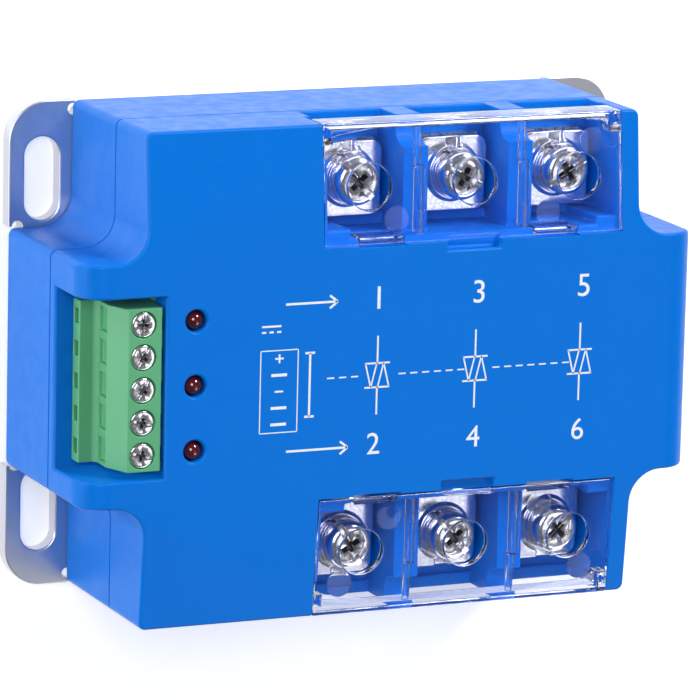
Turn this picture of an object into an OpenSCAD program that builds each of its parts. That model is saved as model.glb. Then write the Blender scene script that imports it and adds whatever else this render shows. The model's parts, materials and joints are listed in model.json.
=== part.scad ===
// Three-phase solid state relay, panel mounted.
// Origin: centre of the base plate's underside. +Z points out of the labelled face, +X along
// the long side (the control plug is at -X), +Y towards the supply-side terminals.

/* [Housing] */
// Length of the wide middle section, along X
mid_len = 103.4; // [103:0.2:104]
// Width of the middle section, along Y
mid_wid = 38; // [37.8:0.1:38.4]
// Length of the main block, along X
body_len = 82.6; // [82.2:0.2:83]
// Width of the main block, along Y
body_wid = 77.5; // [77.3:0.1:77.9]
// Height of the labelled face
face_z = 36.8; // [36.6:0.1:37.2]
// Height of the seam between base shell and front shell
split_z = 22; // [21.9:0.1:22]
// How far the face falls from the middle band to the long edges
face_drop = 1.8; // [1.6:0.1:2]
// Half width of the flat middle band of the face
band = 19.9; // [19.8:0.1:20]
// Moulded wall thickness
wall = 2; // [1.8:0.1:2.2]
// Radius of the inner corners of the outline
notch_r = 5; // [3:0.5:6]
// Radius of the outer corners of the outline
corner_r = 1.2; // [0.6:0.1:1.6]
// Radius of the two short front edges
nose_r = 5; // [3:0.5:5]
// Depth and height of the shadow gap along the seam
seam = 0.3; // [0.2:0.05:0.4]

/* [Base plate] */
// Thickness of the metal base plate
plate_t = 3; // [2.8:0.1:3.2]
// Overall length of the base plate over its ears
plate_len = 103.2; // [102.8:0.2:103.4]
// Radius of the ears' outer corners
ear_r = 6.2; // [4:0.2:7]
// Distance of the slot centres from the middle, along X
slot_x = 46.1; // [45.9:0.1:46.3]
// Distance of the slot centres from the middle, along Y
slot_y = 26.5; // [26.3:0.1:26.7]
// Width of a mounting slot
slot_w = 5.64; // [5.2:0.02:5.8]
// End-to-end length of a mounting slot
slot_len = 13.1; // [12:0.1:13.4]

/* [Power terminals] */
// Distance between neighbouring power terminals
cell_pitch = 17.8; // [17.7:0.1:17.9]
// Middle terminal's place along X
cell_mid_x = 13.1; // [13:0.1:13.2]
// Distance of the terminal screws from the middle, along Y
term_y = 28.8; // [28.6:0.1:29]
// Clear width of a terminal cell
cell_w = 13.6; // [13.4:0.1:13.8]
// Diameter of a terminal screw's thread (M4)
screw_d = 4; // [4:0.1:4]
// Diameter of a terminal screw's head
head_d = 7.6; // [7.2:0.1:8]
// Height of a terminal screw's head
head_h = 3.2; // [2.8:0.1:3.3]
// Side of the square pressure plate
clamp_w = 11.8; // [11:0.1:12]

/* [Covers] */
// Left end of the covers
cover_x0 = -12.4; // [-12.5:0.1:-12.3]
// Right end of the covers
cover_x1 = 38.2; // [38.1:0.1:38.3]
// Thickness of a cover
cover_t = 1.2; // [1:0.1:1.2]
// Bottom of the lip that wraps over the long side
lip_z = 30; // [29.8:0.1:30.2]
// Diameter of the screwdriver holes
cover_hole_d = 7.2; // [7:0.1:7.4]
// Hinge axis, distance from the middle along Y
hinge_y = 37; // [36.9:0.1:37]
// Hinge axis, height
hinge_z = 31.8; // [31.7:0.1:31.9]
// Diameter of the hinge pins
pin_d = 2; // [1.8:0.1:2]

/* [Control plug] */
// Number of control terminals
ways = 5; // [5:1:5]
// Distance between neighbouring control terminals
plug_pitch = 5.08; // [5.08:0.01:5.08]
// Middle of the control plug along Y
plug_y = -0.75; // [-0.85:0.05:-0.65]
// Control screws' place along X
ctrl_x = -41.65; // [-41.7:0.05:-41.6]
// Height of the plug's screw face
plug_top = 36.2; // [36:0.1:36.3]
// Height of the plug's underside
plug_z0 = 24.5; // [24.5:0.1:24.6]
// Diameter of a control screw's head
ctrl_head_d = 3.9; // [3.7:0.1:3.9]
// Diameter of the indicator lamps
led_d = 3; // [2.8:0.1:3.1]
// Indicators' place along X
led_x = -33.35; // [-33.5:0.05:-33.2]
// Middle indicator's place along Y
led_y = -0.5; // [-0.6:0.05:-0.3]
// Distance between neighbouring indicators
led_pitch = 10.16; // [10:0.02:10.2]

/* [Hidden] */
$fn = 64;
eps = 0.01;
POWER = [1:6];
CONTROL = [1:ways];

cells = [for (i = [-1:1]) cell_mid_x + i * cell_pitch];
sides = [1, -1];
cell_in = 20.9;                          // inner end of a terminal cell
cell_out = body_wid / 2 - wall;          // outer end of a terminal cell
slope = face_drop / (body_wid / 2 - band);
cavity_y = 16.9;                         // half width of the middle cavity
cavity_x1 = 48.5;
pocket_x = -38.2;                        // right edge of the plug pocket
pocket_y = [-14.6, 13.6];
floor_z = 24.3;                          // floor of the plug pocket
corner_x0 = -body_len / 2 + wall;        // cavities left of the terminals
corner_x1 = -15.5;
post_at = [[-27, 33.6], [-27, -33.6], [45.4, 13.8], [45.4, -13.8]];
post_d = 7;
shell_screw_d = 2.8;
sill_z = 23.2;                           // bottom of the wire openings
barrier_z = 32.5;                        // top of the walls between terminals
lip_relief = 2.85;                       // room for the swinging lip of a cover
lug_relief = 4.4;                        // room for its swinging hinge lugs
lug_r = 1.7;
lug_t = 1.6;

bar_t = 1.5;                             // terminal bar
bar_w = 11;
bar_out = 34.4;
leg_in = 15;
ledge_y = 22.4;                          // ledge of the cell floor that covers the bar
ledge_z = 24.3;
clamp_z = split_z + bar_t;
clamp_leg = 1.5;                         // height of a pressure plate's side flanges
clamp_t = 1.5;
clamp_c = 28.5;                          // middle of a pressure plate, along Y
clamp_top = clamp_z + clamp_leg + clamp_t;
boss_d = 9.2;
boss_h = 0.8;
washer_d = 8;
washer_t = 1.2;
head_z = clamp_top + boss_h + washer_t;
shank_len = 14;
nut_w = 7;
nut_h = 3.2;
nut_play = 0.1;
screw_turn = [25, 60, 75, 40, 50, 35];   // how each screw happens to stand
running = 0.05;                          // radial running clearance
substrate_t = 1.3;
substrate_z = plate_t;
die_z = substrate_z + substrate_t;

plug_step1 = [-48.8, 27.4];              // wire side of the plug's profile
plug_step2 = [-45.9, 31.7];
plug_face_x0 = -44.1;
plug_face_x1 = -38.7;
plug_x1 = -38.3;
plug_edge_z = plug_top - 0.7;            // ribbed edge beside the screw face
plug_half = ways * plug_pitch / 2;
nose_x1 = -31.2;                         // mating end of the plug
nose_z = [24.9, 29.9];
contact_z = 27.4;
pin_w = 1;
cage = [4.2, 3.6, 5.8];
cage_z = 25.05;
cage_window = 3.7;
cage_floor = 0.6;
ctrl_screw_d = 2.6;
ctrl_head_h = 1.7;
ctrl_head_z = plug_top - 0.2 - ctrl_head_h;
tongue = [28.3, 29];
board_z = 31.3;
board_t = 1.6;
board_x = [-35.5, 40.8];
pin_up_x = -29;
gate_dx = 5;
gate_y = 5.5;
board_screw_at = [[-19, 13], [-19, -13], [38.2, 0]];

blue = [0.03, 0.46, 0.85];
green = [0.33, 0.66, 0.46];
clear = [0.85, 0.9, 0.95, 0.35];
bright = [0.8, 0.8, 0.83];
nickel = [0.68, 0.68, 0.72];
brass = [0.8, 0.66, 0.35];

// ---- helpers -------------------------------------------------------------------------------

function face_at(y) = face_z - max(0, abs(y) - band) * slope;
function way_y(i) = plug_y + (i - (ways + 1) / 2) * plug_pitch;
function cell_of(i) = cells[(i - 1) % 3];
function side_of(i) = i <= 3 ? 1 : -1;

module box(x, y, z) {
    translate([x[0], y[0], z[0]]) cube([x[1] - x[0], y[1] - y[0], z[1] - z[0]]);
}

module bar(x, y, z, w) {
    box([x - w[0] / 2, x + w[0] / 2], [y - w[1] / 2, y + w[1] / 2], z);
}

module on_side(s) {
    if (s > 0) children();
    else mirror([0, 1, 0]) children();
}

module both_sides() {
    for (s = sides) on_side(s) children();
}

// extrudes a (Y, Z) outline along X
module along_x(x0, x1) {
    translate([x0, 0, 0]) rotate([90, 0, 90]) linear_extrude(x1 - x0) children();
}

// extrudes an (X, Z) outline along Y
module along_y(y0, y1) {
    translate([0, y1, 0]) rotate([90, 0, 0]) linear_extrude(y1 - y0) children();
}

module round_rect(lx, ly, r) {
    square([lx - 2 * r, ly], center = true);
    square([lx, ly - 2 * r], center = true);
    for (x = [-1, 1], y = [-1, 1])
        translate([x * (lx / 2 - r), y * (ly / 2 - r)]) circle(r);
}

// ---- housing -------------------------------------------------------------------------------

// plan of the housing, set in by i
module plan(i = 0) {
    r = notch_r + i;
    round_rect(body_len - 2 * i, body_wid - 2 * i, corner_r);
    round_rect(mid_len - 2 * i, mid_wid - 2 * i, corner_r);
    for (x = [-1, 1], y = [-1, 1])
        scale([x, y]) translate([body_len / 2 - i, mid_wid / 2 - i]) difference() {
            translate([-1, -1]) square(r + 1);
            translate([r, r]) circle(r);
        }
}

module posts(d, z0, z1) {
    for (p = post_at) translate([p[0], p[1], z0]) cylinder(d = d, h = z1 - z0);
}

// hollow of both shells beside and between the terminals, up to height top_mid or top_corner
module hollow(z0, top_mid, top_corner) {
    difference() {
        union() {
            box([-36.1, cavity_x1], [-cavity_y, cavity_y], [z0, top_mid]);
            both_sides() box([corner_x0, corner_x1], [19.5, cell_out], [z0, top_corner]);
        }
        posts(post_d, z0 - 1, top_mid + 1);
    }
}

module base_plate() {
    inset = 1.5;
    relief = 0.9;
    color(nickel) difference() {
        linear_extrude(plate_t) difference() {
            union() {
                square([plate_len - 2 * ear_r, body_wid], center = true);
                square([plate_len, body_wid - 2 * ear_r], center = true);
                for (x = [-1, 1], y = [-1, 1])
                    translate([x * (plate_len / 2 - ear_r), y * (body_wid / 2 - ear_r)]) circle(ear_r);
            }
            // the long edges step in under the shell, with a relief beside each ear
            for (y = [-1, 1]) translate([0, y * (body_wid / 2)])
                square([body_len - 1, 2 * inset], center = true);
            for (x = [-1, 1], y = [-1, 1]) {
                translate([x * (body_len / 2 - 0.2), y * (body_wid / 2 - inset)]) circle(relief);
                translate([x * (plate_len / 2 - inset), y * (mid_wid / 2 + 0.1)]) circle(relief);
            }
            for (x = [-1, 1]) translate([x * plate_len / 2, 0])
                square([2 * inset, mid_wid + 0.2], center = true);
            for (x = [-1, 1], y = [-1, 1]) translate([x * slot_x, y * slot_y]) {
                square([slot_w, slot_len - slot_w], center = true);
                for (e = [-1, 1]) translate([0, e * (slot_len - slot_w) / 2]) circle(d = slot_w);
            }
        }
        for (p = post_at) translate([p[0], p[1], -eps]) {
            cylinder(d = 3.2, h = plate_t + 1);
            cylinder(d1 = 6.4, d2 = 3.2, h = 1.8);
        }
    }
}

module base_shell() {
    color(blue) difference() {
        translate([0, 0, plate_t]) linear_extrude(split_z - plate_t) plan();
        hollow(plate_t - 1, split_z + 1, split_z + 1);
        box([-mid_len / 2 + wall, -36], [-cavity_y, cavity_y], [plate_t - 1, split_z - wall]);
        posts(3.4, plate_t - 1, split_z + 1);
        both_sides() for (x = cells) {
            bar(x, 28.8, [plate_t - 1, 10.5], [10.4, 12.4]);
            bar(x, term_y, [split_z - nut_h - 0.3, split_z + 1], [nut_w + 2 * nut_play, nut_w + 2 * nut_play]);
            translate([x, term_y, 12.4]) cylinder(d = screw_d + 0.8, h = 8);
        }
    }
}

module terminal_cells() {
    for (x = cells) {
        difference() {
            union() {
                box([x - cell_w / 2, x + cell_w / 2], [ledge_y, cell_out + eps], [split_z - 1, face_z + 1]);
                box([x - cell_w / 2, x + cell_w / 2], [cell_in, ledge_y + eps], [ledge_z, face_z + 1]);
            }
            // supports under the covers' inner corners
            if (x == cells[0])
                box([x - cell_w / 2 - 1, -7.6], [cell_in - 1, 22.2], [split_z, face_z]);
            if (x == cells[2])
                box([34, x + cell_w / 2 + 1], [cell_in - 1, 22.2], [split_z, face_z]);
        }
        box([x - cell_w / 2, x + cell_w / 2], [cell_out, body_wid], [sill_z, face_z + 1]);
        // passage for the terminal bar
        bar(x, 18.5, [split_z - 1, clamp_z + 0.2], [bar_w + 0.4, 9]);
    }
    // tops of the walls between the cells
    for (i = [0, 1])
        box([cells[i], cells[i + 1]], [cell_in, body_wid], [barrier_z, face_z + 1]);
}

// a round bar on the covers' hinge axis
module hinge_line(x0, x1, r) {
    translate([x0, hinge_y, hinge_z]) rotate([0, 90, 0]) cylinder(r = r, h = x1 - x0);
}

module cover_seat() {
    gap = 0.1;
    t = cover_t + gap;
    y0 = band - 0.15;
    y1 = body_wid / 2 + 1;
    x0 = cover_x0 - gap;
    x1 = cover_x1 + gap;
    along_x(x0, x1) polygon([[y0, face_at(y0) - t], [band, face_z - t], [y1, face_at(y1) - t],
        [y1, face_z + 1], [y0, face_z + 1]]);
    box([x0, x1], [body_wid / 2 - cover_t - 0.15, y1], [lip_z - 0.2, face_z + 1]);
    hinge_line(x0, x1, lip_relief);
    hinge_line(x0, cover_x0 + 0.2 + lug_t, lug_relief);
    hinge_line(cover_x1 - 0.2 - lug_t, x1, lug_relief);
    // sockets of the hinge pins
    hinge_line(cover_x0 - 1.7, cover_x1 + 1.7, pin_d / 2 + running);
    // slots for the latch tongues, and the finger notch
    for (x = [cells[0] + 2.1, cells[2] - 3.9])
        bar(x, 20.4, [30.2, face_z], [7.8, 1.9]);
    bar(cell_mid_x - 0.3, band, [face_z - 1.6, face_z + 1], [8.8, 3]);
}

module front_shell() {
    half = body_wid / 2 + 1;
    color(blue) difference() {
        intersection() {
            union() {
                translate([0, 0, split_z + seam]) linear_extrude(face_z - split_z) plan();
                translate([0, 0, split_z]) linear_extrude(seam + eps) plan(seam);
            }
            // face that falls to both long edges
            along_x(-mid_len, mid_len) polygon([[-half, 0], [half, 0], [half, face_at(half)],
                [band, face_z], [-band, face_z], [-half, face_at(half)]]);
            // rounded short front edges
            along_y(-body_wid, body_wid) {
                translate([-mid_len / 2, 0]) square([mid_len, face_z - nose_r]);
                translate([nose_r - mid_len / 2, 0]) square([mid_len - 2 * nose_r, face_z]);
                for (x = [-1, 1]) translate([x * (mid_len / 2 - nose_r), face_z - nose_r]) circle(nose_r);
            }
        }
        difference() {
            hollow(split_z - 1, face_z - wall, face_at(body_wid / 2) - wall);
            // bosses that carry the control board
            for (p = board_screw_at)
                translate([p[0], p[1], board_z + board_t]) cylinder(d = 6, h = 10);
        }
        for (p = board_screw_at) translate([p[0], p[1], board_z]) cylinder(d = 2.1, h = 4.4);
        posts(shell_screw_d + 0.1, split_z - 1, 31.5);
        both_sides() {
            terminal_cells();
            cover_seat();
        }
        // pocket of the control plug, open to the left and to the front
        box([-mid_len, pocket_x], pocket_y, [floor_z, face_z + 1]);
        // window and bay for the header
        box([pocket_x - eps, -36], [plug_y - 13.8, plug_y + 13.8], [split_z - 1, 31.8]);
        for (i = [-1:1]) translate([led_x, led_y + i * led_pitch, face_z - 4]) cylinder(d = led_d + 0.4, h = 5);
    }
}

// ---- covers --------------------------------------------------------------------------------

module cover() {
    y0 = band + 0.05;
    y1 = body_wid / 2;
    t = cover_t;
    difference() {
        union() {
            along_x(cover_x0, cover_x1) polygon([[y0, face_at(y0)], [y1, face_at(y1)], [y1, lip_z],
                [y1 - t, lip_z], [y1 - t, face_at(y1) - t], [y0, face_at(y0) - t]]);
            // hinge lugs with their pins
            for (x0 = [cover_x0 + 0.1, cover_x1 - 0.1 - lug_t]) {
                hinge_line(x0, x0 + lug_t, lug_r);
                box([x0, x0 + lug_t], [hinge_y - lug_r, hinge_y + lug_r], [hinge_z, face_at(y1) - t / 2]);
            }
            hinge_line(cover_x0 - 1.4, cover_x0 + 0.6, pin_d / 2);
            hinge_line(cover_x1 - 0.6, cover_x1 + 1.4, pin_d / 2);
            // ribs over the walls between the terminals
            for (i = [0, 1]) {
                x = (cells[i] + cells[i + 1]) / 2;
                bar(x, 26.2, [barrier_z + 0.15, face_at(31.4) - t / 2], [1.1, 10.6]);
                bar(x - 0.5, 34.4, [face_at(37.5) - t - 0.7, face_at(37.5) - t / 2], [1.1, 6.2]);
            }
            // latch tongues
            for (x = [cells[0] + 2.1, cells[2] - 3.9])
                bar(x, y0 + 0.55, [31.2, face_at(y0 + 1) - t / 2], [7.2, 0.9]);
        }
        for (x = cells) translate([x, term_y, 0]) cylinder(d = cover_hole_d, h = face_z + 2);
        // ejector marks on the underside
        for (p = [[-0.1, 23.5], [33.4, 34.1], [25.7, 23.3], [-7.9, 33.9]])
            translate([p[0], p[1], face_at(p[1]) - t - 1]) cylinder(d = 4.2, h = 1.15);
        // finger notch
        bar(cell_mid_x - 0.3, y0, [face_z - 0.5, face_z + 1], [8.4, 1.4]);
    }
}

module input_cover() {
    color(clear) cover();
}

module output_cover() {
    color(clear) mirror([0, 1, 0]) cover();
}

// ---- power terminals -----------------------------------------------------------------------

module terminals() {
    for (x = cells) difference() {
        union() {
            box([x - bar_w / 2, x + bar_w / 2], [leg_in, bar_out], [split_z, clamp_z]);
            box([x - 3, x + 3], [leg_in, leg_in + bar_t], [die_z, split_z + eps]);
            box([x - 3, x + 3], [10.8, leg_in + bar_t], [die_z, die_z + bar_t]);
        }
        translate([x, term_y, split_z - 1]) cylinder(d = screw_d + 0.5, h = 4);
    }
}

module input_terminals() {
    color(bright) terminals();
}

module output_terminals() {
    color(bright) mirror([0, 1, 0]) terminals();
}

module terminal_nuts() {
    color(nickel) both_sides() for (x = cells) difference() {
        bar(x, term_y, [split_z - nut_h - 0.1, split_z - 0.1], [nut_w, nut_w]);
        translate([x, term_y, 0]) cylinder(r = screw_d / 2 + running, h = face_z);
    }
}

// pan head with a cross recess and a slot, standing on z = 0, shank below
module pan_screw(d, h, shank_d, len, slot) {
    r = h * 0.45;
    difference() {
        union() {
            rotate_extrude() {
                square([d / 2, h - r]);
                square([d / 2 - r, h]);
                translate([d / 2 - r, h - r]) circle(r);
            }
            translate([0, 0, -len]) cylinder(d = shank_d, h = len + 1);
        }
        for (a = [0, 90]) rotate(a) bar(0, 0, [h - slot * 1.3, h + 1], [slot * 3.2, slot]);
        bar(0, 0, [h - slot, h + 1], [d + 1, slot]);
    }
}

module power_screw(i) {
    color(bright) translate([cell_of(i), side_of(i) * term_y, head_z]) rotate(screw_turn[i - 1])
        pan_screw(head_d, head_h, screw_d, shank_len, 1.1);
}

// saddle clamp: a square plate with a round boss, on two side flanges that leave room for the wire
module pressure_plate(i) {
    r = 1.8;
    color(bright) translate([cell_of(i), 0, 0]) on_side(side_of(i)) difference() {
        union() {
            translate([0, clamp_c, clamp_z]) linear_extrude(clamp_leg + clamp_t) round_rect(clamp_w, clamp_w, r);
            translate([0, term_y, clamp_top - eps]) cylinder(d1 = boss_d, d2 = boss_d - 0.6, h = boss_h + eps);
        }
        bar(0, clamp_c, [clamp_z - 1, clamp_z + clamp_leg], [clamp_w - 2, clamp_w + 1]);
        translate([0, term_y, 0]) cylinder(d = screw_d + 0.3, h = face_z);
        // guide groove on top, towards the wire opening
        bar(0, clamp_c + 5.4, [clamp_top - 0.7, clamp_top + boss_h + 1], [2.2, 3.4]);
    }
}

// split ring under a power screw's head
module spring_washer(i) {
    color(bright) translate([cell_of(i), side_of(i) * term_y, head_z - washer_t]) difference() {
        cylinder(d = washer_d, h = washer_t);
        translate([0, 0, -1]) cylinder(d = screw_d + 0.3, h = washer_t + 2);
        rotate(120) translate([washer_d / 2, 0, washer_t / 2]) rotate([25, 0, 0])
            cube([washer_d, 0.5, 3 * washer_t], center = true);
    }
}

// ---- control plug --------------------------------------------------------------------------

module plug_body() {
    y0 = plug_y - plug_half;
    y1 = plug_y + plug_half;
    color(green) difference() {
        union() {
            along_y(y0, y1) polygon([[plug_step1[0], plug_z0], plug_step1,
                [plug_step2[0] - 0.6, plug_step1[1]], [plug_step2[0], plug_step1[1] + 0.6], plug_step2,
                [plug_face_x0, plug_top], [plug_face_x1, plug_top], [plug_face_x1, plug_edge_z],
                [plug_x1, plug_edge_z], [plug_x1, plug_z0]]);
            box([plug_x1 - 1, nose_x1], [y0 + 0.4, y1 - 0.4], nose_z);
        }
        for (i = CONTROL) {
            y = way_y(i);
            // wire entry, cage shaft, screw well and the neck under the screw's head
            box([plug_step1[0] - 1, ctrl_x], [y - 1.15, y + 1.15], [25, 26.7]);
            box([ctrl_x - 2.3, ctrl_x + 2.3], [y - 1.95, y + 1.95], [25, 33.2]);
            translate([ctrl_x, y, 30]) cylinder(d = 2.8, h = 6);
            translate([ctrl_x, y, ctrl_head_z]) cylinder(d = ctrl_head_d + 0.3, h = 4);
            // socket and its tongue
            box([ctrl_x, nose_x1 + 1], [y - 1.15, y + 1.15], [contact_z - 1.15, contact_z + 1.15]);
            box([ctrl_x, nose_x1 - 1], [y - 1.15, y + 1.15], [contact_z, tongue[1] + 0.1]);
            // test slot on the wire side and key slot at the mating side
            box([plug_step2[0] - 1, plug_step2[0] + 0.7], [y - 1.85, y + 1.85], [28.4, 31.3]);
            box([plug_face_x1, plug_x1 + 1], [y - 1.1, y + 1.1], [33, plug_top + 1]);
        }
    }
}

module plug_contacts() {
    color(brass) for (i = CONTROL) {
        y = way_y(i);
        difference() {
            box([-37.9, nose_x1 - 0.3], [y - 1, y + 1], [contact_z - 1, contact_z + 1]);
            box([-39, nose_x1 + 1], [y - 0.62, y + 0.62], [contact_z - 0.62, contact_z + 0.62]);
        }
        box([ctrl_x - 1.9, -36], [y - 1, y + 1], [tongue[0], tongue[1]]);
    }
}

module control_screw(i) {
    color(bright) translate([ctrl_x, way_y(i), ctrl_head_z]) rotate(20 + 37 * i)
        difference() {
            union() {
                cylinder(d = ctrl_head_d, h = ctrl_head_h);
                translate([0, 0, 29.6 - ctrl_head_z]) cylinder(d = ctrl_screw_d, h = 5);
            }
            for (a = [0, 90]) rotate(a) bar(0, 0, [ctrl_head_h - 1, ctrl_head_h + 1], [2.4, 0.6]);
            bar(0, 0, [ctrl_head_h - 0.6, ctrl_head_h + 1], [5, 0.6]);
        }
}

module clamp_cage(i) {
    z = [cage_z, cage_z + cage[2]];
    color(brass) difference() {
        bar(ctrl_x, way_y(i), z, cage);
        bar(ctrl_x, way_y(i), [z[0] + cage_floor, z[0] + cage_floor + cage_window], [cage[0] + 1, 2.4]);
        translate([ctrl_x, way_y(i), z[0] + 2]) cylinder(r = ctrl_screw_d / 2 + running, h = 6);
    }
}

module control_header() {
    y0 = plug_y - 13.6;
    y1 = plug_y + 13.6;
    color(green) difference() {
        box([-37.9, -29.6], [y0, y1], [22.9, board_z]);
        box([-38.9, nose_x1 + 0.3], [y0 + 1.1, y1 - 1.1], [24.5, 30.2]);
        for (i = CONTROL) bar(-30, way_y(i), [contact_z - 0.5, contact_z + 0.5], [4, pin_w]);
    }
}

module header_pins() {
    color(bright) for (i = CONTROL) {
        box([-37.4, pin_up_x + 0.5], [way_y(i) - 0.5, way_y(i) + 0.5], [contact_z - 0.5, contact_z + 0.5]);
        bar(pin_up_x, way_y(i), [contact_z - 0.5, board_z + board_t + 1], [1, 1]);
    }
}

// ---- electronics ---------------------------------------------------------------------------

module indicator_leds() {
    base = board_z + board_t;
    color([0.45, 0.03, 0.05]) for (i = [-1:1])
        translate([led_x, led_y + i * led_pitch, base]) {
            cylinder(d = led_d + 0.7, h = 0.8);
            cylinder(d = led_d, h = face_z - base - led_d / 2);
            translate([0, 0, face_z - base - led_d / 2]) intersection() {
                sphere(d = led_d);
                cylinder(d = led_d + 1, h = led_d);
            }
        }
}

module gate_at() {
    for (x = cells, y = [-gate_y, gate_y], e = [-1, 1]) translate([x + e * gate_dx, y, 0]) children();
}

module control_board() {
    color([0.05, 0.35, 0.18]) difference() {
        box([board_x[0], board_x[1]], [-15.8, 15.8], [board_z, board_z + board_t]);
        gate_at() translate([0, 0, board_z - 1]) cylinder(d = 1, h = 4);
        for (i = CONTROL) translate([pin_up_x, way_y(i), board_z - 1]) cylinder(d = 1.5, h = 4);
        for (p = board_screw_at) translate([p[0], p[1], board_z - 1]) cylinder(d = 2.6, h = 4);
    }
}

module board_screws() {
    color(nickel) for (p = board_screw_at) translate([p[0], p[1], board_z]) {
        translate([0, 0, -1.6]) cylinder(d = 4.2, h = 1.6);
        translate([0, 0, -eps]) cylinder(d = 2, h = 4);
    }
}

module optocouplers() {
    color([0.9, 0.9, 0.88]) for (x = cells) {
        bar(x, -1, [board_z - 4.2, board_z - 0.6], [8.6, 6.4]);
        for (px = [-2.5, 0, 2.5], s = sides)
            bar(x + px, -1 + s * 3.4, [board_z - 2.6, board_z], [0.6, 0.5]);
    }
}

module snubber_capacitors() {
    color([0.75, 0.15, 0.1]) for (x = cells)
        translate([x, 11.6, board_z - 9]) linear_extrude(9) round_rect(13, 5.6, 0.8);
}

module varistors() {
    color([0.1, 0.25, 0.6]) for (x = cells)
        translate([x, -10, board_z - 5.6]) rotate([90, 0, 0]) cylinder(d = 10.6, h = 4.2);
}

module board_resistors() {
    color([0.75, 0.65, 0.5]) for (y = [-9, -3, 3, 9]) {
        translate([-24, y, board_z - 1.9]) rotate([0, 90, 0]) cylinder(d = 2.4, h = 6.4);
        for (x = [-25.5, -16.3]) bar(x, y, [board_z - 2.2, board_z], [0.6, 0.6]);
        box([-25.6, -16.2], [y - 0.3, y + 0.3], [board_z - 2.2, board_z - 1.6]);
    }
}

module ceramic_substrates() {
    color([0.92, 0.92, 0.9]) for (x = cells) bar(x, 0, [substrate_z, die_z], [16.4, 33.4]);
}

module thyristor_dies() {
    color([0.35, 0.36, 0.4]) for (x = cells, y = [-gate_y, gate_y]) bar(x, y, [die_z, die_z + 0.5], [8, 8]);
}

module gate_pins() {
    color(bright) gate_at() translate([0, 0, die_z]) cylinder(d = 0.8, h = board_z + board_t + 0.8 - die_z);
}

module potting_gel() {
    color([0.85, 0.85, 0.8, 0.5]) difference() {
        box([-14, 40.2], [-14.8, 14.8], [die_z, 10]);
        for (x = cells) {
            bar(x, 0, [die_z - 1, die_z + 0.5], [8, 2 * gate_y + 8]);
            both_sides() box([x - 3, x + 3], [10.8, 16], [die_z - 1, die_z + bar_t]);
        }
        gate_at() cylinder(d = 1, h = 12);
    }
}

module shell_screws() {
    color(nickel) for (p = post_at) translate([p[0], p[1], 0]) {
        cylinder(d1 = 5.8, d2 = shell_screw_d, h = 1.6);
        cylinder(d = shell_screw_d, h = 30);
    }
}

base_plate();
base_shell();
front_shell();
input_cover();
output_cover();
input_terminals();
output_terminals();
terminal_nuts();
for (i = POWER) {
    power_screw(i);
    pressure_plate(i);
    spring_washer(i);
}
plug_body();
plug_contacts();
for (i = CONTROL) {
    control_screw(i);
    clamp_cage(i);
}
control_header();
header_pins();
indicator_leds();
control_board();
board_screws();
optocouplers();
snubber_capacitors();
varistors();
board_resistors();
ceramic_substrates();
thyristor_dies();
gate_pins();
potting_gel();
shell_screws();
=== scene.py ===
"""Looks of the solid state relay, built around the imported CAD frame. Metres, CAD frame."""

import json
import math

import bmesh
import bpy
import numpy as np
from mathutils import Matrix, Vector


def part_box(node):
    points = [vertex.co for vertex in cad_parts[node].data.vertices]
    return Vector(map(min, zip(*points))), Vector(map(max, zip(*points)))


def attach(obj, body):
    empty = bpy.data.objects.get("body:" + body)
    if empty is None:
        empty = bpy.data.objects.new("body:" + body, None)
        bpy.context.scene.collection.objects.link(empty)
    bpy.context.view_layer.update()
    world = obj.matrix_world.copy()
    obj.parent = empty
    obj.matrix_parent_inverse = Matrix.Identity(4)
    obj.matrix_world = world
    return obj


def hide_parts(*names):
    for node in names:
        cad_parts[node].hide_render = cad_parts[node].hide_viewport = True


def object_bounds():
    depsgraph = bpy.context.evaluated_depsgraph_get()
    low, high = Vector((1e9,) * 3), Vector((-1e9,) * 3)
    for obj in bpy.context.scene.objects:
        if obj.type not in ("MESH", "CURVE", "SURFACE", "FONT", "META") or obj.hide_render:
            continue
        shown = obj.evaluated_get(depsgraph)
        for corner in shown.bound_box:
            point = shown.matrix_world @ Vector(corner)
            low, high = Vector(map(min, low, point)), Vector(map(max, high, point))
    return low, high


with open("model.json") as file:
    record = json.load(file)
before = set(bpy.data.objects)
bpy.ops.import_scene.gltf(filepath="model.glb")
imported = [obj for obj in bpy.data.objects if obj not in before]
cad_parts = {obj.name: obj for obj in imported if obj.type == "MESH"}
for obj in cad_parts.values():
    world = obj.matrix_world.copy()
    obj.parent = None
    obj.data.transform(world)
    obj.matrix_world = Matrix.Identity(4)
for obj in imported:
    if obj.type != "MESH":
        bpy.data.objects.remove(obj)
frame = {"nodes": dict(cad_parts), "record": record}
cad_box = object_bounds()

MM = 0.001
nodes = frame["nodes"]
body_of = {n: b for b, members in frame["record"]["behaviour"]["bodies"].items() for n in members}
slot_of = {s["node"]: s["material_slot"] for s in frame["record"]["subparts"]}


# ---- camera, floor and light -------------------------------------------------------------

CAMERA_PLACE = (-0.34425, 0.17971, 0.80571)
CAMERA_RIGHT = Vector((0.91787, 0.02342, 0.39619))
CAMERA_UP = Vector((0.06034, 0.97842, -0.19764))
SENSOR_MM = 36
LENS_MM = 286.7

# each light's place, the side of its square, and its watts
LIGHTS = {
    "key": ((0.55, 0.75, 0.6), 0.3, 9.0),
    "left": ((-1.1, 0.1, 0.12), 0.4, 6.5),
    "front": ((-0.5, 0.3, 1.1), 0.5, 5.9),
    "low": ((0.64, -0.82, 0.86), 0.55, 3.3),
    "gleam": ((0.431, -0.2, 0.987), 0.2, 0.22),
}
SKY_COLOR = (0.86, 0.9, 1, 1)
SKY_STRENGTH = 0.14
FLOOR_REACH = 4
FLOOR_GAP = 0.02 * MM


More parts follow.
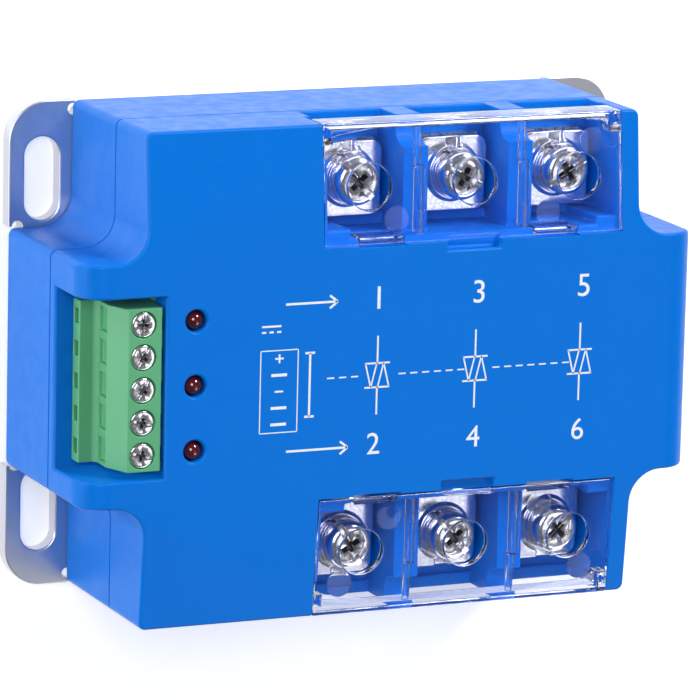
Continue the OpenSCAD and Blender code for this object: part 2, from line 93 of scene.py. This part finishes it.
def add_camera():
    """The photograph's viewing angle: onto the face from the plug's end, with a slight roll."""
    back = CAMERA_RIGHT.cross(CAMERA_UP)
    data = bpy.data.cameras.new("camera")
    data.sensor_width = SENSOR_MM
    data.lens = LENS_MM
    camera = bpy.data.objects.new("camera", data)
    bpy.context.scene.collection.objects.link(camera)
    turn = Matrix((CAMERA_RIGHT, CAMERA_UP, back)).transposed().to_4x4()
    camera.matrix_world = Matrix.Translation(CAMERA_PLACE) @ turn
    bpy.context.scene.camera = camera


def add_light(name, place, aim, size, power):
    data = bpy.data.lights.new(name, "AREA")
    data.size = size
    data.energy = power
    light = bpy.data.objects.new(name, data)
    bpy.context.scene.collection.objects.link(light)
    light.location = place
    light.rotation_euler = (Vector(aim) - Vector(place)).to_track_quat("-Z", "Y").to_euler()


def add_studio():
    """Soft lights around the model, a faint sky, and a pale floor just under it."""
    low, high = cad_box
    for name, (place, size, power) in LIGHTS.items():
        add_light(name, place, (0, 0, high.z / 2), size, power)
    world = bpy.data.worlds.new("studio")
    world.use_nodes = True
    set_inputs(world.node_tree.nodes["Background"],
               {"Color": SKY_COLOR, "Strength": SKY_STRENGTH})
    bpy.context.scene.world = world
    bpy.context.scene.view_settings.view_transform = "Standard"
    mesh = bpy.data.meshes.new("floor")
    corners = [(x * FLOOR_REACH, y * FLOOR_REACH) for x, y in ((-1, -1), (1, -1), (1, 1), (-1, 1))]
    mesh.from_pydata([(x, y, low.z - FLOOR_GAP) for x, y in corners], [], [(0, 1, 2, 3)])
    floor = bpy.data.objects.new("floor", mesh)
    bpy.context.scene.collection.objects.link(floor)
    floor.data.materials.append(floor_material())


# ---- material helpers --------------------------------------------------------------------

def new_material(name):
    material = bpy.data.materials.new(name)
    material.use_nodes = True
    tree = material.node_tree
    return material, tree, tree.nodes["Principled BSDF"]


def set_inputs(shader, values):
    for key, value in values.items():
        shader.inputs[key].default_value = value


def add_noise(tree, scale, detail=2.0, stretch=(1, 1, 1)):
    """Noise in the object's own metres; stretch below 1 draws it out along that axis."""
    coords = tree.nodes.new("ShaderNodeTexCoord")
    mapping = tree.nodes.new("ShaderNodeMapping")
    mapping.inputs["Scale"].default_value = stretch
    noise = tree.nodes.new("ShaderNodeTexNoise")
    noise.inputs["Scale"].default_value = scale
    noise.inputs["Detail"].default_value = detail
    tree.links.new(coords.outputs["Object"], mapping.inputs["Vector"])
    tree.links.new(mapping.outputs["Vector"], noise.inputs["Vector"])
    return noise.outputs["Fac"]


def add_range(tree, value, low, high, from_low=0.35, from_high=0.65):
    """Maps the noise value to low .. high; noise seldom leaves from_low .. from_high."""
    node = tree.nodes.new("ShaderNodeMapRange")
    set_inputs(node, {"From Min": from_low, "From Max": from_high, "To Min": low, "To Max": high})
    tree.links.new(value, node.inputs["Value"])
    return node.outputs["Result"]


def add_ramp(tree, value, first, last):
    """Colours the noise value. Each stop is a place from 0 to 1 and a colour."""
    node = tree.nodes.new("ShaderNodeValToRGB")
    for element, (place, color) in zip(node.color_ramp.elements, (first, last)):
        element.position = place
        element.color = (*color, 1)
    tree.links.new(value, node.inputs["Fac"])
    return node.outputs["Color"]


def add_bump(tree, shader, heights):
    """Chains bumps: heights is a list of (value socket, strength, distance in metres)."""
    normal = None
    for value, strength, distance in heights:
        bump = tree.nodes.new("ShaderNodeBump")
        bump.inputs["Strength"].default_value = strength
        bump.inputs["Distance"].default_value = distance
        tree.links.new(value, bump.inputs["Height"])
        if normal:
            tree.links.new(normal, bump.inputs["Normal"])
        normal = bump.outputs["Normal"]
    tree.links.new(normal, shader.inputs["Normal"])


def shade(color, factor):
    return tuple(min(1, c * factor) for c in color)


# ---- materials ---------------------------------------------------------------------------

# noise scales, from broad to fine
FLOOR_CLOUDS = 6
PLASTIC_CLOUDS = 90
CLEAR_SWIRLS = 160
METAL_BLOTCHES = 260
GLOSS_PATCHES = 420
SLIGHT_WAVES = 700
INK_SPECKS = 1800


def tinted(tree, shader, noise, color, vary):
    """Base colour that wanders by vary either way with the noise."""
    base = add_ramp(tree, noise, (0.3, shade(color, 1 - vary)), (0.7, shade(color, 1 + vary)))
    tree.links.new(base, shader.inputs["Base Color"])


def plastic(name, color, rough=0.38, grain=2600, bump=0.12, vary=0.03, **values):
    """Moulded plastic: fine eroded-mould grain, faint cloudiness in colour and gloss."""
    material, tree, shader = new_material(name)
    tinted(tree, shader, add_noise(tree, PLASTIC_CLOUDS, 3), color, vary)
    fine = add_noise(tree, grain, 3)
    gloss = add_range(tree, add_noise(tree, GLOSS_PATCHES, 4), rough - 0.05, rough + 0.06)
    tree.links.new(gloss, shader.inputs["Roughness"])
    add_bump(tree, shader, [(fine, bump, 0.04 * MM),
                            (add_noise(tree, SLIGHT_WAVES, 2), bump * 0.3, 0.03 * MM)])
    set_inputs(shader, {"IOR": 1.5, **values})
    return material


def metal(name, color, rough=0.22, scratch=(1, 1, 1), grain=2400, bump=0.08, vary=0.08,
          spread=0.4):
    """Plated or rolled metal: roughness streaks, small dents and a slight tint variation."""
    material, tree, shader = new_material(name)
    streaks = add_noise(tree, grain, 2, scratch)
    blotch = add_noise(tree, METAL_BLOTCHES, 4)
    tinted(tree, shader, blotch, color, vary)
    gloss = add_range(tree, streaks, rough * (1 - 0.7 * spread), rough * (1 + spread))
    tree.links.new(gloss, shader.inputs["Roughness"])
    add_bump(tree, shader, [(streaks, bump, 0.02 * MM), (blotch, bump, 0.05 * MM)])
    set_inputs(shader, {"Metallic": 1.0})
    return material


def clear_plastic():
    """Polished polycarbonate. Shadow rays pass through tinted, so what lies under it is lit."""
    material, tree, shader = new_material("clear polycarbonate")
    set_inputs(shader, {"Base Color": (0.9, 0.92, 1, 1), "Transmission Weight": 1, "IOR": 1.5})
    swirl = add_noise(tree, CLEAR_SWIRLS, 3)
    tree.links.new(add_range(tree, swirl, 0.02, 0.07), shader.inputs["Roughness"])
    add_bump(tree, shader, [(swirl, 0.06, 0.05 * MM)])
    clear = tree.nodes.new("ShaderNodeBsdfTransparent")
    clear.inputs["Color"].default_value = (0.55, 0.58, 0.65, 1)
    path = tree.nodes.new("ShaderNodeLightPath")
    mix = tree.nodes.new("ShaderNodeMixShader")
    tree.links.new(path.outputs["Is Shadow Ray"], mix.inputs["Fac"])
    tree.links.new(shader.outputs["BSDF"], mix.inputs[1])
    tree.links.new(clear.outputs["BSDF"], mix.inputs[2])
    tree.links.new(mix.outputs["Shader"], tree.nodes["Material Output"].inputs["Surface"])
    return material


def lamp_material():
    """Deep red tinted lens with a glossy skin."""
    material, tree, shader = new_material("lamp lens")
    tint = add_ramp(tree, add_noise(tree, SLIGHT_WAVES, 3),
                    (0.3, (0.09, 0.002, 0.004)), (0.7, (0.15, 0.004, 0.007)))
    tree.links.new(tint, shader.inputs["Base Color"])
    set_inputs(shader, {"Transmission Weight": 0.35, "Roughness": 0.12, "IOR": 1.54,
                        "Coat Weight": 0.8, "Coat Roughness": 0.04})
    return material


def floor_material():
    """Pale floor that glows a little, so that it stays near white away from the lights."""
    material, tree, shader = new_material("floor")
    base = add_ramp(tree, add_noise(tree, FLOOR_CLOUDS, 2),
                    (0.3, (0.93, 0.93, 0.94)), (0.7, (0.96, 0.96, 0.97)))
    tree.links.new(base, shader.inputs["Base Color"])
    set_inputs(shader, {"Roughness": 0.9, "Specular IOR Level": 0.1, "Emission Strength": 0.4,
                        "Emission Color": (1, 1, 1, 1)})
    return material


def print_material():
    """White pad-printing ink: slightly uneven and thin at places."""
    material, tree, shader = new_material("white ink")
    base = add_ramp(tree, add_noise(tree, INK_SPECKS, 4),
                    (0.25, (0.72, 0.78, 0.86)), (0.6, (0.88, 0.9, 0.93)))
    tree.links.new(base, shader.inputs["Base Color"])
    set_inputs(shader, {"Roughness": 0.55})
    return material


BLUE = (0.001, 0.165, 0.67)
GREEN = (0.1, 0.4, 0.19)

materials = {
    "housing_blue": plastic("blue housing plastic", BLUE, rough=0.34, bump=0.06, vary=0.01,
                            **{"Specular IOR Level": 0.12}),
    "base_metal": metal("nickel-plated plate", (0.66, 0.66, 0.71), rough=0.36,
                        scratch=(1, 0.5, 1), grain=900, bump=0.008, vary=0.01, spread=0.06),
    "cover_clear": clear_plastic(),
    "plug_green": plastic("green connector plastic", GREEN, rough=0.42, bump=0.1),
    "bright_metal": metal("bright plating", (0.88, 0.86, 0.9), rough=0.16, bump=0.05, vary=0.03),
    # darker plating for the faces inside the screw recesses: painted shade in the recess
    "recess_painted_shade": metal("darker plating as painted recess shade", (0.2, 0.2, 0.22), rough=0.4, bump=0.05,
                          vary=0.03),
    "tinned_copper": metal("tinned copper", (0.72, 0.71, 0.7), rough=0.3, scratch=(1, 0.08, 1)),
    "brass": metal("drawn brass", (0.72, 0.52, 0.2), rough=0.25),
    "steel": metal("zinc-plated steel", (0.5, 0.51, 0.54), rough=0.3),
    "lamp_red": lamp_material(),
    "board_green": plastic("circuit board", (0.01, 0.12, 0.05), rough=0.3, grain=1500),
    "chip_white": plastic("chip package", (0.7, 0.7, 0.67), rough=0.5),
    "capacitor_red": plastic("capacitor case", (0.42, 0.03, 0.02), rough=0.3),
    "varistor_blue": plastic("varistor coating", (0.02, 0.08, 0.32), rough=0.28, bump=0.2,
                             grain=900),
    "resistor_tan": plastic("resistor lacquer", (0.5, 0.36, 0.2), rough=0.35, grain=1200),
    "ceramic_white": plastic("ceramic tile", (0.8, 0.8, 0.77), rough=0.6, grain=3200),
    "silicon_grey": metal("silicon die", (0.2, 0.21, 0.26), rough=0.12),
    "gel_clear": plastic("silicone gel", (0.7, 0.7, 0.62), rough=0.15,
                         **{"Transmission Weight": 0.8, "IOR": 1.41}),
    "ink": print_material(),
}


# ---- mesh helpers ------------------------------------------------------------------------

SEAM_ROUNDING = 0.1 * MM        # of the edges where the two shells meet
SEAM_GAP = 0.14 * MM            # shows the seam as a fine dark line
SMALLEST_ROUNDING = 0.03 * MM
ROOM_SHARE = 0.4                # of the free distance that one rounding may take
CORNER_SHARE = 0.85             # of an edge that the corners at its ends may take together
NO_NEIGHBOUR = 1.0              # free distance of an edge with nothing near it


def link_object(name, bm):
    mesh = bpy.data.meshes.new(name)
    bm.to_mesh(mesh)
    bm.free()
    piece = bpy.data.objects.new(name, mesh)
    bpy.context.scene.collection.objects.link(piece)
    return piece


def add_object(name, bm, material, body, smooth=True):
    piece = link_object(name, bm)
    piece.data.materials.append(material)
    if smooth:
        piece.data.shade_smooth()
    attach(piece, body)
    return piece


def evaluated_mesh(piece):
    """The piece's mesh with its modifiers applied."""
    bpy.context.view_layer.update()
    graph = bpy.context.evaluated_depsgraph_get()
    return bpy.data.meshes.new_from_object(piece.evaluated_get(graph))


def edge_room(sharp):
    """Free distance across the faces from each sharp edge to the nearest corner of another one."""
    beside = 0.01 * MM      # a corner this far past the edge's ends still counts
    apart = 0.005 * MM      # a corner nearer than this lies on the edge itself
    in_plane = 0.02 * MM
    corners = list({v for e in sharp for v in e.verts})
    rank = {v: i for i, v in enumerate(corners)}
    points = np.array([v.co for v in corners])
    at_corner = np.full(len(corners), NO_NEIGHBOUR)
    at_edge = np.full(len(sharp), NO_NEIGHBOUR)
    for i, e in enumerate(sharp):
        for loop in e.link_loops:
            normal = np.array(loop.face.normal)
            start = np.array(loop.vert.co)
            reach = np.array(loop.link_loop_next.vert.co) - start
            length = np.linalg.norm(reach)
            along = reach / length
            inward = np.cross(normal, along)
            offset = points - start
            share = offset @ along
            depth = offset @ inward
            hit = (share > -beside) & (share < length + beside) & (depth > apart)
            hit &= np.abs(offset @ normal) < in_plane
            if hit.any():
                at_edge[i] = min(at_edge[i], depth[hit].min())
                at_corner[hit] = np.minimum(at_corner[hit], depth[hit])
    return np.array([min(at_edge[i], *(at_corner[rank[v]] for v in e.verts))
                     for i, e in enumerate(sharp)])


def inner_angle(loop):
    """The face's angle at the loop's corner, over 180 degrees where its outline turns inwards."""
    return loop.calc_angle() if loop.is_convex else 2 * math.pi - loop.calc_angle()


def fit_corners(bm, sharp, sizes, rounds=20):
    """Lowers the rounding of sharp edges until the corners at both ends of each edge fit on it."""
    bm.edges.index_update()
    place = {e.index: i for i, e in enumerate(sharp)}
    # for each side of each sharp edge: the next sharp edge at both ends, and the angle to it
    corners = {}
    for loop in (l for e in sharp for l in e.link_loops):
        for far in (False, True):
            here = loop.link_loop_next if far else loop
            angle = inner_angle(here)
            while True:
                edge = here.edge if far else here.link_loop_prev.edge
                if edge.index in place:
                    break
                if far:
                    here = here.link_loop_radial_next.link_loop_next
                else:
                    here = here.link_loop_prev.link_loop_radial_next
                angle += inner_angle(here)
            corners.setdefault(loop, []).append((place[edge.index], angle))
    own = np.array([place[l.edge.index] for l in corners])
    length = np.array([l.edge.calc_length() for l in corners])
    other = np.array([[c[0] for c in pair] for pair in corners.values()])
    angle = np.array([[c[1] for c in pair] for pair in corners.values()])
    straight = np.abs(angle - math.pi) < math.radians(25)
    bent = ~straight & (angle < math.pi)
    slope = np.where(bent, np.sin(angle), 1)
    for _ in range(rounds):
        # edges in one straight run share one size
        for side in (0, 1):
            tied = straight[:, side]
            low = np.minimum(sizes[own], sizes[other[:, side]])[tied]
            np.minimum.at(sizes, own[tied], low)
            np.minimum.at(sizes, other[tied, side], low)
        # a bent corner takes up part of the edge's length
        shift = np.where(bent, (sizes[other] + sizes[own][:, None] * np.cos(angle)) / slope, 0)
        total = np.maximum(shift, 0).sum(axis=1)
        scale = np.minimum(1, CORNER_SHARE * length / np.maximum(total, 1e-9))
        crowded = scale < 0.999
        for side in (0, 1):
            part = np.where(shift[crowded, side] > 0, scale[crowded], 1)
            np.minimum.at(sizes, other[crowded, side], part * sizes[other[crowded, side]])
    return sizes


def soften(piece, width, segments, seam=None, sharp_angle=28):
    """Rounds the piece's sharp edges by up to width, and by less where there is little room."""
    bm = bmesh.new()
    bm.from_mesh(piece.data)
    bmesh.ops.remove_doubles(bm, verts=bm.verts, dist=0.002 * MM)
    bmesh.ops.dissolve_limit(bm, angle_limit=math.radians(0.4), verts=bm.verts, edges=bm.edges)
    bm.normal_update()
    layer = bm.edges.layers.float.new("bevel_weight_edge")
    sharp = [e for e in bm.edges
             if len(e.link_faces) == 2 and e.calc_face_angle(0) > math.radians(sharp_angle)]
    if sharp:
        free = edge_room(sharp)
        if seam is not None:
            on_seam = [all(abs(v.co.z - seam) < 0.2 * MM for v in e.verts) for e in sharp]
            free[on_seam] = np.minimum(free[on_seam], SEAM_ROUNDING / ROOM_SHARE)
        sizes = fit_corners(bm, sharp, np.minimum(width, ROOM_SHARE * free))
        for e, size in zip(sharp, sizes):
            e[layer] = size / width if size > SMALLEST_ROUNDING else 0
    bm.to_mesh(piece.data)
    bm.free()
    bevel = piece.modifiers.new("rounding", "BEVEL")
    bevel.limit_method = "WEIGHT"
    bevel.width = width
    bevel.segments = segments
    bevel.use_clamp_overlap = False
    bevel.loop_slide = False
    bevel.harden_normals = False
    piece.modifiers.new("shading", "WEIGHTED_NORMAL").keep_sharp = True
    piece.data.shade_smooth()


def rounded_copy(node, width, segments=2, seam=None, gap=0):
    """A copy of a CAD node with its edges rounded, which stands for that node.

    Edges at the seam's height stay crisp, and the faces there move up by the gap.
    """
    bm = bmesh.new()
    bm.from_mesh(nodes[node].data)
    if gap:
        for v in bm.verts:
            if abs(v.co.z - seam) < 0.001 * MM:
                v.co.z += gap
    piece = add_object(node + "_rounded", bm, materials[slot_of[node]], body_of[node])
    if piece.data.has_custom_normals:
        piece.data.normals_split_custom_set([(0, 0, 0)] * len(piece.data.loops))
    soften(piece, width, segments, seam)
    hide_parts(node)


def lathe(outline, steps=96):
    """A closed solid of revolution about Z from (radius, height) points, axis to axis."""
    bm = bmesh.new()
    rings = []
    for radius, height in outline:
        if radius < 1e-7:
            rings.append([bm.verts.new((0, 0, height))])
            continue
        angles = [2 * math.pi * k / steps for k in range(steps)]
        rings.append([bm.verts.new((radius * math.cos(a), radius * math.sin(a), height))
                      for a in angles])
    for low, high in zip(rings, rings[1:]):
        for k in range(steps):
            n = (k + 1) % steps
            quad = [low[k % len(low)], low[n % len(low)], high[n % len(high)], high[k % len(high)]]
            face = list(dict.fromkeys(quad))
            if len(face) > 2:
                bm.faces.new(face)
    bmesh.ops.recalc_face_normals(bm, faces=bm.faces)
    return bm


def block(bm, size, taper=1.0):
    """Adds a box about the origin to bm; taper scales its lower face."""
    made = bmesh.ops.create_cube(bm, size=1)["verts"]
    for v in made:
        k = taper if v.co.z < 0 else 1
        v.co = Vector((v.co.x * size[0] * k, v.co.y * size[1] * k, v.co.z * size[2]))
    return made


def cut(piece, cutter_bm):
    """Cuts the closed shape cutter_bm out of the piece."""
    cutter = link_object("cutter", cutter_bm)
    boolean = piece.modifiers.new("cut", "BOOLEAN")
    boolean.operation = "DIFFERENCE"
    boolean.solver = "EXACT"
    boolean.use_self = True
    boolean.object = cutter
    result = evaluated_mesh(piece)
    piece.modifiers.clear()
    piece.data = result
    bpy.data.objects.remove(cutter)


# ---- screws ------------------------------------------------------------------------------

POWER_SCREW = {"head_d": 7.6 * MM, "head_h": 3.2 * MM, "shank_d": 4 * MM, "shank_len": 14 * MM,
               "slot_w": 1.1 * MM, "crown": 1 * MM}
CONTROL_SCREW = {"head_d": 3.9 * MM, "head_h": 1.7 * MM, "shank_d": 2.6 * MM,
                 "shank_len": 4.7 * MM, "slot_w": 0.6 * MM, "crown": 0.25 * MM}

# the angle in degrees at which each screw stands in the photograph
POWER_TURNS = (-48, -28, 30, -60, -49, 43)
CONTROL_TURNS = (-15, -12, 60, 58, 84)


def head_outline(head_d, head_h, crown):
    """Half profile of a head with a rounded rim and a foot that sinks below z = 0."""
    r = head_d / 2
    foot_r = r * 0.95
    foot = -0.2 * MM
    arc = [math.radians(a) for a in range(0, 91, 15)]
    rim = [(r - crown + crown * math.cos(a), head_h - crown * (1 - math.sin(a))) for a in arc]
    return [(0, foot), (foot_r, foot), (foot_r, 0), (r, 0.1 * head_h), *rim, (0, head_h)]


def recess_cutter(head_d, head_h, slot_w):
    """A tapered cross and a shallower slot, centred on the head's top."""
    span = head_d * 0.52
    bm = bmesh.new()
    for size in ((span, slot_w), (slot_w, span)):
        block(bm, (*size, head_h * 1.3), taper=0.62)
    block(bm, (head_d * 1.1, slot_w * 0.96, head_h * 0.56))
    bmesh.ops.translate(bm, verts=bm.verts, vec=(0, 0, head_h))
    return bm


def thread_outline(shank_d, shank_len):
    """Half profile of a shank with a ring for each turn of its thread."""
    pitch = shank_d * 0.18
    root = shank_d / 2 - 0.6 * pitch
    top = -0.1 * MM
    outline = [(0, -shank_len), (root * 0.8, -shank_len)]
    z = -shank_len + pitch
    while z < -pitch:
        outline += [(root, z), (shank_d / 2, z + pitch * 0.42), (shank_d / 2, z + pitch * 0.58)]
        z += pitch
    return outline + [(root, z), (root, top), (0, top)]


def screw_mesh(head_d, head_h, shank_d, shank_len, slot_w, crown):
    """A screw with a cross recess, a slot and a ribbed thread. Its head stands on z = 0.

    The faces inside the recess take the second material, a darker plating that is painted shade in
    the recess.
    """
    head = link_object("screw_head", lathe(head_outline(head_d, head_h, crown), 72))
    cut(head, recess_cutter(head_d, head_h, slot_w))
    bevel = head.modifiers.new("rounding", "BEVEL")
    bevel.width = slot_w * 0.09
    bevel.segments = 2
    bevel.angle_limit = math.radians(40)
    mesh = evaluated_mesh(head)
    bpy.data.objects.remove(head)
    # faces down inside the cross recess get the darker plating, painted shade
    for face in mesh.polygons:
        reach = max(mesh.vertices[v].co.xy.length for v in face.vertices)
        below_top = 0.05 * MM < face.center.z < 0.93 * head_h
        face.material_index = int(below_top and reach < 0.3 * head_d)
    bm = lathe(thread_outline(shank_d, shank_len), 48)
    bm.from_mesh(mesh)
    return bm


def screws(prefix, turns, size):
    """Puts a copy of the screw in each CAD screw's place, at its own turn."""
    bm = screw_mesh(**size)
    for number, turn in enumerate(turns, 1):
        node = f"{prefix}_{number}"
        low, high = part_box(node)
        piece = add_object(node + "_detailed", bm.copy(), materials["bright_metal"],
                           body_of[node])
        piece.location = ((low.x + high.x) / 2, (low.y + high.y) / 2, high.z - size["head_h"])
        piece.rotation_euler.z = math.radians(turn)
        piece.data.set_sharp_from_angle(angle=math.radians(35))
        # second material: darker plating on the recess faces, painted shade
        piece.data.materials.append(materials["recess_painted_shade"])
        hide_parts(node)
    bm.free()


# ---- lamps -------------------------------------------------------------------------------

def lamps():
    """Three lamps, each with a domed lens on a flange."""
    low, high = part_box("indicator_leds")
    x = (low.x + high.x) / 2
    r = 1.5 * MM
    flange = r + 0.35 * MM
    rows = [low.y + flange, (low.y + high.y) / 2, high.y - flange]
    arc = [math.radians(a) for a in range(0, 90, 10)]
    outline = [(0, low.z), (flange, low.z), (flange, low.z + 0.8 * MM), (r, low.z + 0.85 * MM)]
    outline += [(r * math.cos(a), high.z - r + r * math.sin(a)) for a in arc] + [(0, high.z)]
    bm = bmesh.new()
    for y in rows:
        one = lathe(outline, 48)
        bmesh.ops.translate(one, verts=one.verts, vec=(x, y, 0))
        mesh = bpy.data.meshes.new("lamp")
        one.to_mesh(mesh)
        one.free()
        bm.from_mesh(mesh)
    lens = add_object("lamp_lenses", bm, materials["lamp_red"], "housing")
    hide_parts("indicator_leds")


# ---- printing, in millimetres ------------------------------------------------------------

PHASES = (-3.2, 13.8, 31.8)
ARROW_LINE = 0.35
SYMBOL_LINE = 0.28
TRIANGLE_LINE = 0.24
DASH_LINE = 0.22


def line(bm, a, b, width):
    """A straight printed line from a to b."""
    a, b = Vector((*a, 0)), Vector((*b, 0))
    made = block(bm, ((b - a).length * MM, width * MM, 0.03 * MM))
    angle = math.atan2(b.y - a.y, b.x - a.x)
    middle = (a + b) / 2 * MM
    bmesh.ops.rotate(bm, verts=made, matrix=Matrix.Rotation(angle, 3, "Z"))
    bmesh.ops.translate(bm, verts=made, vec=middle)


def arrow(bm, x0, x1, y):
    line(bm, (x0, y), (x1, y), ARROW_LINE)
    for side in (1, -1):
        line(bm, (x1 + 0.1, y), (x1 - 1.2, y + side * 1.0), ARROW_LINE)


def switch_symbol(bm, x, top, bottom):
    """Two opposed triangles with a lead above and below, the sign for a two-way thyristor."""
    middle = (top + bottom) / 2
    size = 1.9
    line(bm, (x, top), (x, middle + size), SYMBOL_LINE)
    line(bm, (x, middle - size), (x, bottom), SYMBOL_LINE)
    for side in (1, -1):
        line(bm, (x - 2.1, middle + side * size), (x + 2.1, middle + side * size), SYMBOL_LINE)
        tip = (x + side * 1.05, middle + side * size)
        base = middle - side * size
        line(bm, tip, (x + side * 2, base), TRIANGLE_LINE)
        line(bm, tip, (x + side * 0.1, base), TRIANGLE_LINE)


def numeral(text, x, y, height):
    """One printed numeral, centred at x, y, as a thin mesh."""
    curve = bpy.data.curves.new("numeral_" + text, "FONT")
    curve.body = text
    curve.size = height * MM / 0.7      # a numeral is 0.7 of its type size high
    curve.align_x = "CENTER"
    curve.align_y = "CENTER"
    curve.extrude = 0.015 * MM
    curve.resolution_u = 6
    temp = bpy.data.objects.new("temp", curve)
    bpy.context.scene.collection.objects.link(temp)
    mesh = evaluated_mesh(temp)
    bpy.data.objects.remove(temp)
    mesh.transform(Matrix.Translation((x * MM, y * MM, 0)))
    return mesh


def control_box(bm, x0, x1, y0, y1):
    """A frame of five rows with a plus, a minus and three plain bars."""
    corners = [(x0, y0), (x1, y0), (x1, y1), (x0, y1)]
    for a, b in zip(corners, corners[1:] + corners[:1]):
        line(bm, a, b, 0.16)
    row = (y1 - y0) / 5
    x = (x0 + x1) / 2
    for k, sign in enumerate(("plus", "bar", "minus", "bar", "bar")):
        y = y1 - (k + 0.5) * row
        if sign == "bar":
            line(bm, (x - 1.3, y), (x + 1.3, y), 0.45)
            continue
        line(bm, (x - 0.7, y), (x + 0.7, y), SYMBOL_LINE)
        if sign == "plus":
            for side in (-1, 1):
                line(bm, (x, y + side * 0.14), (x, y + side * 0.7), SYMBOL_LINE)


def direct_current_sign(bm, x, y):
    """A long stroke over three short ones."""
    line(bm, (x, y), (x + 3.2, y), 0.3)
    for start in (x, x + 1.25, x + 2.5):
        line(bm, (start, y - 0.9), (start + 0.7, y - 0.9), 0.3)


def bracket(bm, x, top, bottom):
    line(bm, (x, top), (x, bottom), ARROW_LINE)
    for y in (top, bottom):
        line(bm, (x - 0.8, y), (x + 0.8, y), ARROW_LINE)


def control_link(bm, start, y):
    """A dashed line through the three switches, with room left for each."""
    x = start
    while x < PHASES[-1] - 2.4:
        if min(abs(x + 0.6 - p) for p in PHASES) > 2.6:
            line(bm, (x, y), (x + 1.2, y), DASH_LINE)
        x += 2


def printing():
    """Neutral marks where the relay is printed: terminal numbers, lines and signs."""
    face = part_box("front_shell")[1].z
    bm = bmesh.new()
    for k, x in enumerate(PHASES):
        bm.from_mesh(numeral(str(2 * k + 1), x, 11.4, 3.6))
        bm.from_mesh(numeral(str(2 * k + 2), x - 0.4, -11.6, 3.4))
    arrow(bm, -18.7, -10.2, 11.4)
    arrow(bm, -18.2, -8.0, -11.7)
    control_box(bm, -22.7, -16.5, -8.6, 4.3)
    direct_current_sign(bm, -22.6, 8.1)
    bracket(bm, -14.5, 3.6, -6.4)
    for x, lean in zip(PHASES, (0, -0.4, -0.4)):
        switch_symbol(bm, x + lean, 5.6, -6.8)
    control_link(bm, -11.6, -0.6)
    bmesh.ops.translate(bm, verts=bm.verts, vec=(0, 0, face + 0.005 * MM))
    add_object("face_print", bm, materials["ink"], "housing", smooth=False)


# ---- the whole relay ---------------------------------------------------------------------

SHELL_ROUNDING = 0.5 * MM
PLATE_ROUNDING = 0.35 * MM
THIN_ROUNDING = 0.22 * MM       # covers and plug
CLAMP_ROUNDING = 0.3 * MM
WASHER_ROUNDING = 0.15 * MM


def dress_nodes():
    """Gives each CAD node the material of its slot."""
    for name, node in nodes.items():
        material = materials[slot_of[name]]
        if not node.material_slots:
            node.data.materials.append(material)
        for place in node.material_slots:
            place.material = material
        for polygon in node.data.polygons:
            polygon.use_smooth = False


add_camera()
add_studio()
dress_nodes()
seam_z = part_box("front_shell")[0].z
rounded_copy("front_shell", SHELL_ROUNDING, 3, seam_z, SEAM_GAP)
rounded_copy("base_shell", SHELL_ROUNDING, 3, seam_z)
rounded_copy("base_plate", PLATE_ROUNDING)
rounded_copy("input_cover", THIN_ROUNDING)
rounded_copy("output_cover", THIN_ROUNDING)
rounded_copy("plug_body", THIN_ROUNDING)
for number in range(1, 7):
    rounded_copy(f"pressure_plate_{number}", CLAMP_ROUNDING)
    rounded_copy(f"spring_washer_{number}", WASHER_ROUNDING)
screws("power_screw", POWER_TURNS, POWER_SCREW)
screws("control_screw", CONTROL_TURNS, CONTROL_SCREW)
lamps()
printing()
